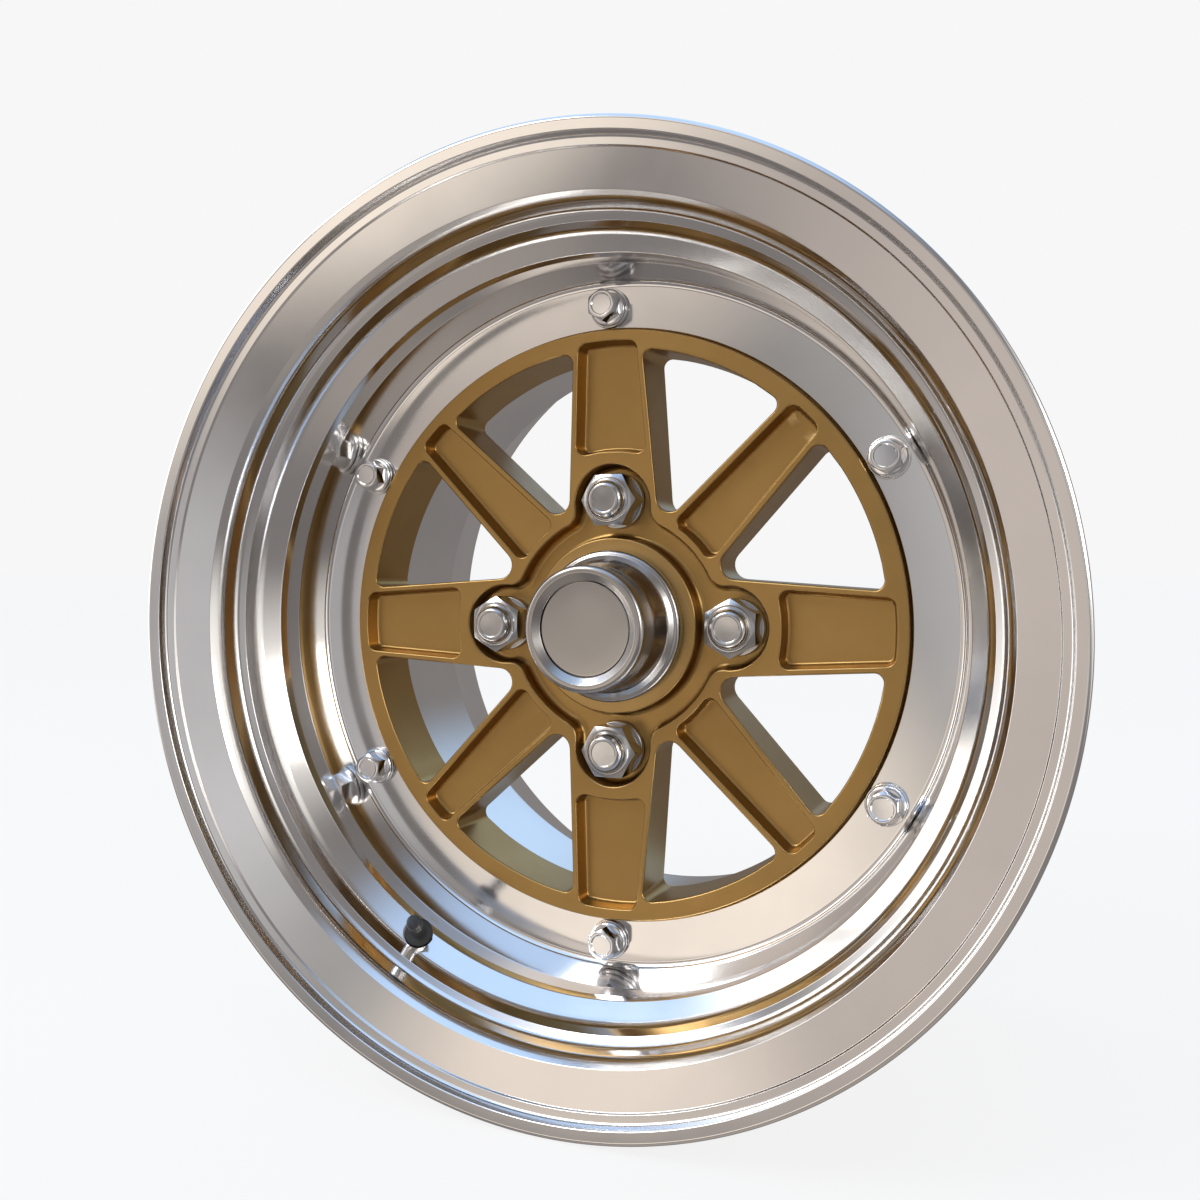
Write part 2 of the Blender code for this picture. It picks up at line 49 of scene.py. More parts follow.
WHEEL = Matrix.Rotation(math.pi / 2, 4, "X") @ Matrix.Scale(MM, 4)
ROUND = 256
FINE = 96

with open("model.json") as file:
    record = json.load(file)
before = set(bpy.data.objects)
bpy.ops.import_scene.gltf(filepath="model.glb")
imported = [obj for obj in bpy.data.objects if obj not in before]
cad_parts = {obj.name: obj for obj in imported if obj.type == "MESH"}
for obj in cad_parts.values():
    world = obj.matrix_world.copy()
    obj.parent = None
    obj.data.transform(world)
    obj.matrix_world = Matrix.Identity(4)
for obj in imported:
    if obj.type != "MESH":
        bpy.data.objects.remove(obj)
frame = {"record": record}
cad_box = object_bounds()
rim_radius = cad_box[1][0] / MM
lip_front = -cad_box[0][1] / MM
rear_edge = -cad_box[1][1] / MM

# The forged centre.
CENTRE_FACE = 32.0
CENTRE_BACK = 4.0
CENTRE_RADIUS = 128.2
SPOKE_SLOPE = 0.092
SPOKE_SLOPE_START = 118.0
WINDOW_OUTER_RADIUS = 120.3
POCKET_OUTER_RADIUS = 123.4
POCKET_DEPTH = 7.5
WALL_DRAFT = 0.9
BORE_RADIUS = 28.55
BOSS_RADIUS = 38.7
BOSS_TOP = 26.4
RECESS_FLOOR = 18.0
RECESS_RADIUS = 48.8
LOBE_RADIUS = 17.5
LOBE_CENTRE = 53.0
LOBE_BLEND = 8.0
LUG_RADIUS = 55.0
LUG_SEAT_RADIUS = 10.6
LUG_HOLE_REAR_RADIUS = 7.9
FOOT_FILLET = 2.6
POCKET_FILLET = 1.3
BORE_CHAMFER = 0.5

# The valve cap's joint stands this far above the valve's seat.
VALVE_CAP_JOINT_HEIGHT = 13.5


def polar(radius, angle):
    return radius * math.cos(angle), radius * math.sin(angle)


def arc(centre, radius, start, end, steps):
    """Points along an arc, from one angle to the other in radians."""
    angles = [start + (end - start) * step / steps for step in range(steps + 1)]
    return [(centre[0] + radius * math.cos(a), centre[1] + radius * math.sin(a)) for a in angles]


def circle(radius, count, centre=(0.0, 0.0)):
    return arc(centre, radius, 0.0, math.tau, count)[:-1]


def fillet(before, corner, after, radius, steps):
    """The arc that rounds one corner between its two neighbours."""
    first = math.atan2(before[1] - corner[1], before[0] - corner[0])
    second = math.atan2(after[1] - corner[1], after[0] - corner[0])
    half = (second - first) / 2
    if abs(half) > math.pi / 2:
        half -= math.copysign(math.pi, half)
    reach = radius / math.sin(abs(half))
    middle = first + half
    centre = (corner[0] + reach * math.cos(middle), corner[1] + reach * math.sin(middle))
    sweep = math.copysign(math.pi / 2 - abs(half), half)
    return arc(centre, radius, middle + math.pi + sweep, middle + math.pi - sweep, steps)


def rounded(corners, steps=8):
    """An outline from corners given as (x, y) or, where the corner is rounded, (x, y, radius)."""
    outline = []
    for index, corner in enumerate(corners):
        if len(corner) == 2:
            outline.append(corner)
            continue
        before = corners[index - 1]
        after = corners[(index + 1) % len(corners)]
        outline += fillet(before, corner, after, corner[2], steps)
    return outline


def subdivided(outline, spacing):
    """The same outline with points added along its long edges."""
    points = []
    for start, end in zip(outline, outline[1:] + outline[:1]):
        count = max(1, round(math.dist(start, end) / spacing))
        for step in range(count):
            share = step / count
            points.append(tuple(a + (b - a) * share for a, b in zip(start, end)))
    return points


def offset(outline, distance):
    """A counter-clockwise outline grown by a distance, or shrunk by a negative one."""
    grown = []
    for index, (x, y) in enumerate(outline):
        before = Vector(outline[index]) - Vector(outline[index - 1])
        after = Vector(outline[(index + 1) % len(outline)]) - Vector(outline[index])
        before.normalize()
        after.normalize()
        normal = Vector((before.y + after.y, -before.x - after.x)).normalized()
        stretch = max(0.3, normal.dot(Vector((after.y, -after.x))))
        grown.append((x + normal.x * distance / stretch, y + normal.y * distance / stretch))
    return grown


def turn(outline, angle):
    cosine, sine = math.cos(angle), math.sin(angle)
    return [(x * cosine - y * sine, x * sine + y * cosine) for x, y in outline]


def mirror(outline):
    """An outline reflected in the X axis and kept counter-clockwise."""
    return [(x, -y) for x, y in reversed(outline)]


# Mesh helpers.


def loop(shape, outline, height):
    """Vertices along an outline. The height is a number, or a function of x and y."""
    if callable(height):
        return [shape.verts.new((x, y, height(x, y))) for x, y in outline]
    return [shape.verts.new((x, y, height)) for x, y in outline]


def bridge(shape, loops):
    """Bands of faces between neighbouring loops. A loop of one vertex closes a band on the axis."""
    for upper, lower in zip(loops, loops[1:]):
        count = max(len(upper), len(lower))
        for step in range(count):
            after = (step + 1) % count
            corners = [upper[step % len(upper)], lower[step % len(lower)]]
            if len(lower) > 1:
                corners.append(lower[after])
            if len(upper) > 1:
                corners.append(upper[after])
            shape.faces.new(corners)


def inside(point, outline):
    """Whether a point is within an outline, by counting the edges to its right."""
    x, y = point
    crossings = 0
    for (x1, y1), (x2, y2) in zip(outline, outline[1:] + outline[:1]):
        if (y1 > y) != (y2 > y) and x < x1 + (x2 - x1) * (y - y1) / (y2 - y1):
            crossings += 1
    return crossings % 2 == 1


def within_box(point, box):
    return box[0] <= point[0] <= box[1] and box[2] <= point[1] <= box[3]


def fill(shape, outlines, height, spacing):
    """Faces over the region inside the first outline and outside the others, on the height."""
    points = []
    edges = []
    for outline in outlines:
        first = len(points)
        points += outline
        edges += [(first + i, first + (i + 1) % len(outline)) for i in range(len(outline))]
    reach = max(math.hypot(x, y) for x, y in outlines[0])
    rings = max(1, round(reach / spacing))
    for ring in range(1, rings):
        radius = reach * (ring + 0.37) / rings
        points += circle(radius, max(8, round(math.tau * radius / spacing)))
    flat = [Vector(point) for point in points]
    found, _, faces, _, _, _ = delaunay_2d_cdt(flat, edges, [], 1, 1e-7)
    made = loop(shape, [tuple(point) for point in found], height)
    holes = []
    for outline in outlines[1:]:
        across = [x for x, _ in outline]
        upward = [y for _, y in outline]
        holes.append((outline, (min(across), max(across), min(upward), max(upward))))
    for face in faces:
        middle = [sum(found[index][axis] for index in face) / len(face) for axis in (0, 1)]
        if not any(within_box(middle, box) and inside(middle, outline) for outline, box in holes):
            shape.faces.new([made[index] for index in face])


def lathe(shape, profile, segments=ROUND, closed=True):
    """Turns a profile about the local axis. It runs down its outer side, top to bottom."""
    loops = []
    for radius, height in profile:
        ring = circle(radius, segments) if radius > 0.0 else [(0.0, 0.0)]
        loops.append(loop(shape, ring, height))
    bridge(shape, loops + loops[:1] if closed else loops)


def finished_mesh(shape, name, placement, sharp=38):
    loose = [vert for vert in shape.verts if not vert.link_faces]
    bmesh.ops.delete(shape, geom=loose, context="VERTS")
    bmesh.ops.remove_doubles(shape, verts=shape.verts, dist=0.001)
    bmesh.ops.recalc_face_normals(shape, faces=shape.faces)
    mesh = bpy.data.meshes.new(name)
    shape.to_mesh(mesh)
    shape.free()
    mesh.transform(placement)
    mesh.shade_smooth()
    mesh.set_sharp_from_angle(angle=math.radians(sharp))
    return mesh


def piece(name, mesh, node, surface):
    """A visible piece that rides on its CAD node's body and stands for that node."""
    made = bpy.data.objects.new(name, mesh)
    bpy.context.scene.collection.objects.link(made)
    mesh.materials.append(surface)
    normals = made.modifiers.new("even_normals", "WEIGHTED_NORMAL")
    normals.keep_sharp = True
    normals.weight = 80
    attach(made, body_of(node))
    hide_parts(node)
    return made


def body_of(node):
    bodies = frame["record"]["behaviour"]["bodies"]
    return next(body for body, nodes in bodies.items() if node in nodes)


def turned_piece(node, profile, surface, placement=WHEEL, segments=ROUND, closed=True):
    shape = bmesh.new()
    lathe(shape, profile, segments, closed)
    return piece(f"{node}_look", finished_mesh(shape, node, placement), node, surface)


def standing_at(node):
    """Placement of a small part about its own axis, which is parallel to the wheel's."""
    low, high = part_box(node)
    middle = (low + high) / 2 / MM
    angle = math.atan2(middle.z, middle.x)
    radius = math.hypot(middle.x, middle.z)
    return WHEEL @ Matrix.Translation((*polar(radius, angle), 0.0)) @ Matrix.Rotation(angle, 4, "Z")


# Materials.


def new_material(name, colour, metallic, roughness):
    made = bpy.data.materials.new(name)
    made.use_nodes = True
    shader = made.node_tree.nodes["Principled BSDF"]
    shader.inputs["Base Color"].default_value = (*colour, 1.0)
    shader.inputs["Metallic"].default_value = metallic
    shader.inputs["Roughness"].default_value = roughness
    return made, made.node_tree, shader


def noise(tree, scale, detail=4.0):
    """Noise on the piece's own coordinates."""
    place = tree.nodes.new("ShaderNodeTexCoord")
    made = tree.nodes.new("ShaderNodeTexNoise")
    made.inputs["Scale"].default_value = scale
    made.inputs["Detail"].default_value = detail
    made.inputs["Roughness"].default_value = 0.55
    tree.links.new(place.outputs["Object"], made.inputs["Vector"])
    return made.outputs["Fac"]


def turning_rings(tree, pitch):
    """Fine rings about the wheel's axis, from a noise that varies along radius and height only."""
    place = tree.nodes.new("ShaderNodeTexCoord")
    split = tree.nodes.new("ShaderNodeSeparateXYZ")
    tree.links.new(place.outputs["Object"], split.inputs["Vector"])
    flat = tree.nodes.new("ShaderNodeCombineXYZ")
    tree.links.new(split.outputs["X"], flat.inputs["X"])
    tree.links.new(split.outputs["Z"], flat.inputs["Y"])
    length = tree.nodes.new("ShaderNodeVectorMath")
    length.operation = "LENGTH"
    tree.links.new(flat.outputs["Vector"], length.inputs[0])
    rings = tree.nodes.new("ShaderNodeCombineXYZ")
    tree.links.new(length.outputs["Value"], rings.inputs["X"])
    tree.links.new(split.outputs["Y"], rings.inputs["Y"])
    made = tree.nodes.new("ShaderNodeTexNoise")
    made.inputs["Scale"].default_value = 1.0 / pitch
    made.inputs["Detail"].default_value = 3.0
    tree.links.new(rings.outputs["Vector"], made.inputs["Vector"])
    return made.outputs["Fac"]


def remap(tree, source, low, high, start=0.3, end=0.7):
    made = tree.nodes.new("ShaderNodeMapRange")
    made.inputs["From Min"].default_value = start
    made.inputs["From Max"].default_value = end
    made.inputs["To Min"].default_value = low
    made.inputs["To Max"].default_value = high
    tree.links.new(source, made.inputs["Value"])
    return made.outputs["Result"]


def two_tone(tree, shader, source, first, second, start=0.35, end=0.65):
    ramp = tree.nodes.new("ShaderNodeValToRGB")
    ramp.color_ramp.elements[0].position = start
    ramp.color_ramp.elements[0].color = (*first, 1.0)
    ramp.color_ramp.elements[1].position = end
    ramp.color_ramp.elements[1].color = (*second, 1.0)
    tree.links.new(source, ramp.inputs["Fac"])
    tree.links.new(ramp.outputs["Color"], shader.inputs["Base Color"])


def bump(tree, shader, source, strength, distance):
    made = tree.nodes.new("ShaderNodeBump")
    made.inputs["Strength"].default_value = strength
    made.inputs["Distance"].default_value = distance
    tree.links.new(source, made.inputs["Height"])
    tree.links.new(made.outputs["Normal"], shader.inputs["Normal"])


def polished_aluminium():
    """Mirror-polished spun aluminium: faint turning rings and soft wipe marks."""
    made, tree, shader = new_material("polished_aluminium_look", (0.80, 0.79, 0.78), 1.0, 0.12)
    two_tone(tree, shader, noise(tree, 9.0), (0.76, 0.75, 0.745), (0.84, 0.83, 0.82))
    tree.links.new(remap(tree, noise(tree, 26.0, 6.0), 0.09, 0.16), shader.inputs["Roughness"])
    bump(tree, shader, turning_rings(tree, 0.0009), 0.05, 0.00002)
    return made


def satin_bronze():
    """Bronze anodised forging: fine blasted grain, slight mottling, and convex edges mixed towards a paler
    bronze as a painted highlight.
    """
    made, tree, shader = new_material("satin_bronze_look", (0.40, 0.245, 0.083), 1.0, 0.36)
    # Pointiness mixes convex edges towards a paler bronze: a painted highlight along the edges.
    edges = tree.nodes.new("ShaderNodeNewGeometry")
    painted_edge_highlight = remap(tree, edges.outputs["Pointiness"], 0.0, 1.0, 0.51, 0.56)
    ramp = tree.nodes.new("ShaderNodeValToRGB")
    ramp.color_ramp.elements[0].color = (0.395, 0.242, 0.083, 1.0)
    ramp.color_ramp.elements[1].color = (0.440, 0.272, 0.096, 1.0)
    tree.links.new(remap(tree, noise(tree, 30.0, 5.0), 0.0, 1.0), ramp.inputs["Fac"])
    mix = tree.nodes.new("ShaderNodeMix")
    mix.data_type = "RGBA"
    mix.inputs["B"].default_value = (0.62, 0.43, 0.19, 1.0)
    tree.links.new(ramp.outputs["Color"], mix.inputs["A"])
    tree.links.new(painted_edge_highlight, mix.inputs["Factor"])
    tree.links.new(mix.outputs["Result"], shader.inputs["Base Color"])
    tree.links.new(remap(tree, noise(tree, 55.0, 5.0), 0.30, 0.38), shader.inputs["Roughness"])
    bump(tree, shader, noise(tree, 2600.0, 2.0), 0.10, 0.00004)
    return made


def bright_metal(name, dark, light, low, high, grain):
    """Plated steel with slightly uneven gloss and faint staining."""
    made, tree, shader = new_material(name, light, 1.0, low)
    two_tone(tree, shader, noise(tree, 90.0, 4.0), dark, light, 0.2, 0.8)
    tree.links.new(remap(tree, noise(tree, 160.0, 5.0), low, high, 0.2, 0.8), shader.inputs["Roughness"])
    bump(tree, shader, noise(tree, 1500.0, 2.0), grain, 0.00001)
    return made


def satin_cap():
    """Satin turned aluminium, with rings from the lathe and a soft uneven sheen."""
    made, tree, shader = new_material("satin_cap_look", (0.52, 0.50, 0.49), 1.0, 0.26)
    two_tone(tree, shader, noise(tree, 30.0), (0.44, 0.425, 0.415), (0.49, 0.475, 0.46), 0.2, 0.8)
    tree.links.new(remap(tree, noise(tree, 60.0, 5.0), 0.20, 0.27, 0.2, 0.8), shader.inputs["Roughness"])
    bump(tree, shader, turning_rings(tree, 0.0003), 0.06, 0.00001)
    return made


def matt(name, dark, light, low, high, scale, depth):
    """Rubber, plastic or sealant: a fine matt skin with a little bloom."""
    made, tree, shader = new_material(name, dark, 0.0, low)
    two_tone(tree, shader, noise(tree, scale / 8, 5.0), dark, light)
    tree.links.new(remap(tree, noise(tree, scale / 4, 4.0), low, high), shader.inputs["Roughness"])
    bump(tree, shader, noise(tree, scale, 3.0), 0.25, depth)
    return made


POLISHED = polished_aluminium()
BRONZE = satin_bronze()
CHROME = bright_metal("chrome_steel_look", (0.70, 0.70, 0.71), (0.80, 0.80, 0.81), 0.07, 0.13, 0.04)
NICKEL = bright_metal("nickel_steel_look", (0.50, 0.495, 0.50), (0.62, 0.615, 0.61), 0.15, 0.23, 0.06)
CAP_METAL = satin_cap()
BRASS = bright_metal("valve_brass_look", (0.50, 0.36, 0.16), (0.68, 0.50, 0.25), 0.22, 0.36, 0.10)
RUBBER = matt("black_rubber_look", (0.012, 0.012, 0.012), (0.03, 0.03, 0.03), 0.55, 0.75, 1400.0, 0.00006)
PLASTIC = matt("black_plastic_look", (0.016, 0.016, 0.018), (0.032, 0.032, 0.035), 0.32, 0.5, 1900.0, 0.00003)
SEALANT = matt("grey_sealant_look", (0.24, 0.24, 0.235), (0.36, 0.355, 0.35), 0.6, 0.8, 700.0, 0.0002)


# The barrel.


def make_outer_barrel():
    """Lip, broad band, steps, wall and clamp flange, then the hidden tyre side."""
    profile = rounded([
        (rim_radius, lip_front - 0.7, 1.1),
        (rim_radius, 95.8, 1.4),
        (186.8, 86.5, 3.0),
        (177.4, 86.5, 4.0),
        (176.2, 66.5, 3.0),
        (165.5, 61.8, 4.0),
        (158.2, 54.7, 3.0),
        (158.2, 24.0, 0.8),
        (157.0, 23.0),
        (128.9, 23.0),
        (128.75, 27.2, 0.5),
        (129.4, 28.0, 0.3),
        (149.2, 28.0, 3.0),
        (153.2, 45.0, 6.0),
        (153.2, 54.0, 0.6),
        (154.0, 57.6, 1.2),
        (161.2, 64.8, 10.0),
        (163.2, 71.3, 0.5),
        (166.8, 73.4, 3.6),
        (168.2, 81.8, 12.0),
        (170.9, 85.8, 0.5),
        (184.8, 91.7, 0.3),
        (185.3, 92.6, 0.3),
        (188.6, 93.8, 1.6),
        (189.2, lip_front - 1.4, 0.7),
        (193.2, lip_front - 0.05, 1.2),
    ])
    shape = bmesh.new()
    lathe(shape, profile)
    made = piece("outer_barrel_look", finished_mesh(shape, "outer_barrel", WHEEL), "outer_barrel", POLISHED)
    hole = valve_hole_cutter()
    boolean = made.modifiers.new("valve_hole", "BOOLEAN")
    boolean.solver = "EXACT"
    boolean.object = hole
    boolean.operation = "DIFFERENCE"
    apply_modifiers(made, keep="even_normals")
    bpy.data.objects.remove(hole)


def apply_modifiers(obj, keep):
    """Works the modifiers into the mesh, apart from the one named."""
    obj.modifiers[keep].show_viewport = False
    bpy.context.view_layer.update()
    graph = bpy.context.evaluated_depsgraph_get()
    mesh = bpy.data.meshes.new_from_object(obj.evaluated_get(graph))
    mesh.name = obj.data.name
    obj.data = mesh
    for modifier in [m for m in obj.modifiers if m.name != keep]:
        obj.modifiers.remove(modifier)
    obj.modifiers[keep].show_viewport = True
    mesh.shade_smooth()
    mesh.set_sharp_from_angle(angle=math.radians(38))


def make_inner_barrel():
    """Clamp flange, drop well, rear cone with its rolled lip, and the hidden tyre side."""
    profile = rounded([
        (146.5, 16.7, 0.4),
        (146.5, 3.0, 0.8),
        (134.6, 3.0, 2.0),
        (134.6, -53.0, 12.0),
        (157.5, -91.5, 6.0),
        (176.2, -95.0, 3.0),
        (177.4, -116.7, 3.0),
        (186.8, -116.7, 3.0),
        (rim_radius, rear_edge + 3.5, 1.4),
        (rim_radius, rear_edge, 1.2),
        (172.5, rear_edge, 1.0),
        (171.2, rear_edge + 22.0, 4.0),
        (159.5, rear_edge + 22.0, 3.0),
        (162.5, rear_edge, 1.0),
        (158.0, rear_edge, 1.6),
        (130.0, -56.0, 10.0),
        (130.0, 16.7, 0.4),
    ])
    turned_piece("inner_barrel", profile, POLISHED)


def make_seal():
    """The bead of sealant, laid by hand, so its outer face waves a little."""
    section = rounded([(146.8, 22.7, 0.3), (151.3, 22.7, 0.8), (150.4, 18.7, 2.0), (146.8, 14.7, 0.3)], 6)
    shape = bmesh.new()
    lathe(shape, section)
    for vert in shape.verts:
        radius = math.hypot(vert.co.x, vert.co.y)
        if radius > 147.2:
            angle = math.atan2(vert.co.y, vert.co.x)
            wave = 0.2 * math.sin(37 * angle) + 0.15 * math.sin(90 * angle + 1.0) - 0.35
            vert.co.x *= (radius + wave) / radius
            vert.co.y *= (radius + wave) / radius
    piece("barrel_seal_look", finished_mesh(shape, "barrel_seal", WHEEL), "barrel_seal", SEALANT)


# The forged centre.


def spoke_half_width(along, diagonal):
    if diagonal:
        return 13.6 - 0.0543 * (along - 70.0)
    return 19.6 - 0.067 * (along - 70.0)


def face_height(x, y):
    return CENTRE_FACE - SPOKE_SLOPE * max(0.0, SPOKE_SLOPE_START - math.hypot(x, y))


def spoke_edges_meet(slant):
    """Where a lug spoke's edge line and the next diagonal spoke's edge line cross."""
    lug_start = spoke_half_width(0.0, False)
    lug_rise = spoke_half_width(1.0, False) - lug_start
    diagonal_start = spoke_half_width(0.0, True)
    diagonal_rise = spoke_half_width(1.0, True) - diagonal_start
    x_factor = math.sin(slant) - diagonal_rise * math.cos(slant)
    y_factor = math.cos(slant) + diagonal_rise * math.sin(slant)
    x = (diagonal_start + y_factor * lug_start) / (x_factor - y_factor * lug_rise)
    return x, lug_start + lug_rise * x


def window_outline():
    """A window between the lug spoke at zero degrees and the diagonal spoke at 45."""
    outer = WINDOW_OUTER_RADIUS
    slant = math.radians(45)
    lug_half = spoke_half_width(outer, False)
    lug_corner = (math.sqrt(outer**2 - lug_half**2), lug_half, 3.8)
    diagonal_half = spoke_half_width(outer, True)
    diagonal_corner = turn([(math.sqrt(outer**2 - diagonal_half**2), -diagonal_half)], slant)[0]
    middle = [polar(outer, math.radians(angle)) for angle in range(13, 34, 2)]
    corners = [(*spoke_edges_meet(slant), 6.3), lug_corner, *middle, (*diagonal_corner, 4.0)]
    return subdivided(rounded(corners), 3.0)


def pocket_outline(inner, outer, margin, diagonal):
    """A spoke's shallow pocket along +X, with arcs about the wheel's axis at both ends."""
    inner_half = spoke_half_width(inner, diagonal) - margin
    outer_half = spoke_half_width(outer, diagonal) - margin
    inner_x = math.sqrt(inner**2 - inner_half**2)
    outer_x = math.sqrt(outer**2 - outer_half**2)
    return subdivided(rounded([
        (inner_x, -inner_half, 4.0),
        (outer_x, -outer_half, 4.0),
        *[polar(outer, share * outer_half / outer) for share in (-0.35, 0.0, 0.35)],
        (outer_x, outer_half, 4.0),
        (inner_x, inner_half, 4.0),
        *[polar(inner, share * inner_half / inner) for share in (0.35, 0.0, -0.35)],
    ]), 2.5)


def recess_outline():
    """The lobed recess round the boss: one circle, and a lobe blended in round each lug nut."""
    main = RECESS_RADIUS + LOBE_BLEND
    lobe = LOBE_RADIUS + LOBE_BLEND
    blend_x = (LOBE_CENTRE**2 + main**2 - lobe**2) / (2 * LOBE_CENTRE)
    blend_y = math.sqrt(main**2 - blend_x**2)
    main_angle = math.atan2(blend_y, blend_x)
    lobe_angle = math.atan2(blend_y, blend_x - LOBE_CENTRE)
    quarter = math.pi / 2
    half_lobe = arc((LOBE_CENTRE, 0.0), LOBE_RADIUS, -lobe_angle, lobe_angle, 40)
    blend = arc((blend_x, blend_y), LOBE_BLEND, lobe_angle - math.pi, main_angle - math.pi, 10)
    join = arc((0.0, 0.0), RECESS_RADIUS, main_angle, quarter - main_angle, 16)
    next_blend = [(y, x) for x, y in reversed(blend)]
    one_quarter = [*half_lobe, *blend[1:], *join[1:], *next_blend[1:-1]]
    outline = []
    for index in range(4):
        outline += turn(one_quarter, index * quarter)
    return outline


def edge_loops(shape, outline, radius, height, way, steps=6):
    """Loops over a rounded edge, from the surface at the height to a wall along the outline."""
    loops = []
    for step in range(steps + 1):
        angle = math.pi / 2 * step / steps
        grown = offset(outline, radius * (1 - math.sin(angle)))
        drop = way * radius * (1 - math.cos(angle))
        loops.append(loop(shape, grown, lambda x, y, drop=drop: height(x, y) - drop))
    return loops


def foot_loops(shape, outline, radius, height, steps=6):
    """Loops over the fillet at a hollow's foot, from its wall to the floor at the height."""
    loops = []
    for step in range(steps + 1):
        angle = math.pi / 2 * step / steps
        shrunk = offset(outline, -radius * (1 - math.cos(angle)))
        rise = radius * (1 - math.sin(angle))
        loops.append(loop(shape, shrunk, lambda x, y, rise=rise: height(x, y) + rise))
    return loops


def flat_at(height):
    return lambda x, y: height


def pocket_floor(angle):
    """Height of a pocket's floor: a plane parallel to the spoke's face along the spoke."""
    along = Vector(polar(1.0, angle))
    base = CENTRE_FACE - SPOKE_SLOPE * SPOKE_SLOPE_START - POCKET_DEPTH
    return lambda x, y: base + SPOKE_SLOPE * along.dot((x, y))


def make_centre():
    window_lip, pocket_lip, recess_lip, outer_lip = 0.9, 0.7, 1.0, 0.6
    shape = bmesh.new()
    windows = []
    pockets = []
    window = window_outline()
    lug_pocket = pocket_outline(76.3, POCKET_OUTER_RADIUS, 2.6, False)
    long_pocket = pocket_outline(52.3, POCKET_OUTER_RADIUS, 2.8, True)
    for index in range(4):
        angle = index * math.pi / 2
        windows += [turn(window, angle), turn(mirror(window), angle)]
        pockets += [(turn(lug_pocket, angle), angle)]
        pockets += [(turn(long_pocket, angle + math.pi / 4), angle + math.pi / 4)]
    recess = recess_outline()

    for outline in windows:
        front = edge_loops(shape, outline, window_lip, face_height, 1)
        back = edge_loops(shape, outline, window_lip, flat_at(CENTRE_BACK), -1)
        bridge(shape, front + back[::-1])
    for outline, angle in pockets:
        top = edge_loops(shape, outline, pocket_lip, face_height, 1)
        narrowed = offset(outline, -WALL_DRAFT)
        bottom = foot_loops(shape, narrowed, POCKET_FILLET, pocket_floor(angle))
        bridge(shape, top + bottom)
        fill(shape, [offset(narrowed, -POCKET_FILLET)], pocket_floor(angle), 4.0)
    top = edge_loops(shape, recess, recess_lip, face_height, 1)
    bottom = foot_loops(shape, recess, FOOT_FILLET, flat_at(RECESS_FLOOR))
    bridge(shape, top + bottom)

    holes = [offset(outline, window_lip) for outline in windows]
    holes += [offset(outline, pocket_lip) for outline, _ in pockets]
    holes.append(offset(recess, recess_lip))
    rim = circle(CENTRE_RADIUS - outer_lip, ROUND)
    fill(shape, [rim, *holes], face_height, 3.0)

    seats = [circle(LUG_SEAT_RADIUS, 48, polar(LUG_RADIUS, index * math.pi / 2)) for index in range(4)]
    boss_foot = circle(BOSS_RADIUS + FOOT_FILLET, 128)
    fill(shape, [offset(recess, -FOOT_FILLET), boss_foot, *seats], flat_at(RECESS_FLOOR), 4.0)
    foot_centre = (BOSS_RADIUS + FOOT_FILLET, RECESS_FLOOR + FOOT_FILLET)
    boss = arc(foot_centre, FOOT_FILLET, -math.pi / 2, -math.pi, 8)
    boss += arc((BOSS_RADIUS - 0.8, BOSS_TOP - 0.8), 0.8, 0.0, math.pi / 2, 6)
    boss += [(BORE_RADIUS + BORE_CHAMFER, BOSS_TOP), (BORE_RADIUS, BOSS_TOP - BORE_CHAMFER)]
    boss += [(BORE_RADIUS, BORE_CHAMFER), (BORE_RADIUS + BORE_CHAMFER, 0.0)]
    lathe(shape, boss, 128, closed=False)

    rear_seats = []
    for index in range(4):
        centre = polar(LUG_RADIUS, index * math.pi / 2)
        steps = [(LUG_SEAT_RADIUS, RECESS_FLOOR), (10.3, 17.7), (10.3, 6.0)]
        steps += [(7.5, 6.0), (7.5, 0.4), (LUG_HOLE_REAR_RADIUS, 0.0)]
        bridge(shape, [loop(shape, circle(radius, 48, centre), height) for radius, height in steps])
        rear_seats.append(circle(LUG_HOLE_REAR_RADIUS, 48, centre))
    pad_edge = offset(recess, -0.5)
    rear_bore = circle(BORE_RADIUS + BORE_CHAMFER, 128)
    fill(shape, [pad_edge, rear_bore, *rear_seats], flat_at(0.0), 5.0)
    bridge(shape, [loop(shape, pad_edge, 0.0), loop(shape, recess, 0.5), loop(shape, recess, CENTRE_BACK)])
    back_holes = [offset(outline, window_lip) for outline in windows]
    fill(shape, [circle(128.0, ROUND), recess, *back_holes], flat_at(CENTRE_BACK), 5.0)
    side = arc((CENTRE_RADIUS - outer_lip, CENTRE_FACE - outer_lip), outer_lip, math.pi / 2, 0.0, 6)
    side += [(CENTRE_RADIUS, 22.7), (146.0, 22.7), (146.5, 22.3), (146.5, 17.4), (146.0, 17.0)]
    side += [(128.5, 17.0), (128.5, 4.5), (128.0, 4.0)]
    lathe(shape, side, ROUND, closed=False)
    mesh = finished_mesh(shape, "wheel_centre", WHEEL, sharp=50)
    piece("wheel_centre_look", mesh, "wheel_centre", BRONZE)


# Fasteners.


def hexagon(across_flats, corner_angle, points_a_side=6, rounding=0.35):
    """A hexagon with softly rounded corners, as a counter-clockwise outline."""
    corner = across_flats / math.sqrt(3)
    corners = [(*polar(corner, corner_angle + math.radians(60 * side)), rounding) for side in range(6)]
    return subdivided(rounded(corners, 3), across_flats / math.sqrt(3) / points_a_side)


